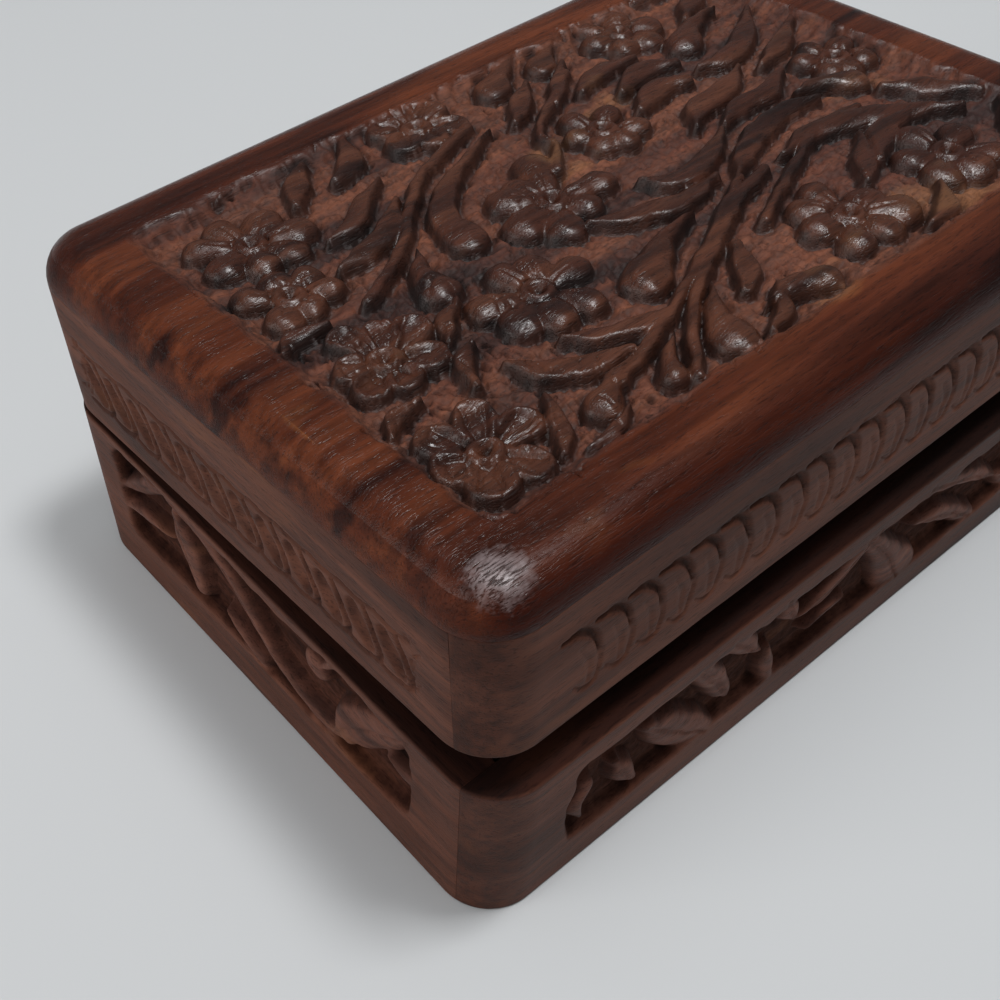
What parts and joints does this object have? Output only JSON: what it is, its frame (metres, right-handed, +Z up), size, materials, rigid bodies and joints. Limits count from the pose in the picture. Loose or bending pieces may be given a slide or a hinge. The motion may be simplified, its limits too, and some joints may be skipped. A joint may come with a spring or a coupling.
{
  "type": "trinket box",
  "caption": "Carved wooden trinket box with rounded corners, floral relief on lid and sides, and a deep hinged lid on small brass butt hinges.",
  "frame": {"origin": "middle of the base's underside, on the surface that the box stands on", "axes": "+X to the right along the long front, -Y is the front, +Y the hinged back, +Z up"},
  "size_m": [0.152, 0.1097, 0.0706],
  "materials": {
    "side_wood": "dark hardwood, hand carved, thinly polished",
    "top_wood": "dark red-brown hardwood with lighter streaks, hand carved, polished",
    "panel_wood": "thin plain hardwood board, sanded",
    "hinge_brass": "pressed brass, slightly dulled"
  },
  "bodies": {
    "base": {"base_front_board": "side_wood", "base_back_board": "side_wood", "base_left_board": "side_wood", "base_right_board": "side_wood", "base_bottom_panel": "panel_wood", "left_hinge_base_leaf": "hinge_brass", "left_hinge_pin": "hinge_brass", "left_hinge_base_screws": "hinge_brass", "right_hinge_base_leaf": "hinge_brass", "right_hinge_pin": "hinge_brass", "right_hinge_base_screws": "hinge_brass"},
    "lid": {"lid_front_rail": "side_wood", "lid_back_rail": "side_wood", "lid_left_rail": "side_wood", "lid_right_rail": "side_wood", "lid_top_board": "top_wood", "left_hinge_lid_leaf": "hinge_brass", "left_hinge_lid_screws": "hinge_brass", "right_hinge_lid_leaf": "hinge_brass", "right_hinge_lid_screws": "hinge_brass"}
  },
  "joints": [
    {"name": "lid_hinge", "type": "hinge", "parent": "base", "child": "lid", "pos_m": [0, 0.0524, 0.03365], "axis": [-1, 0, 0], "range_deg": [0, 105]}
  ]
}
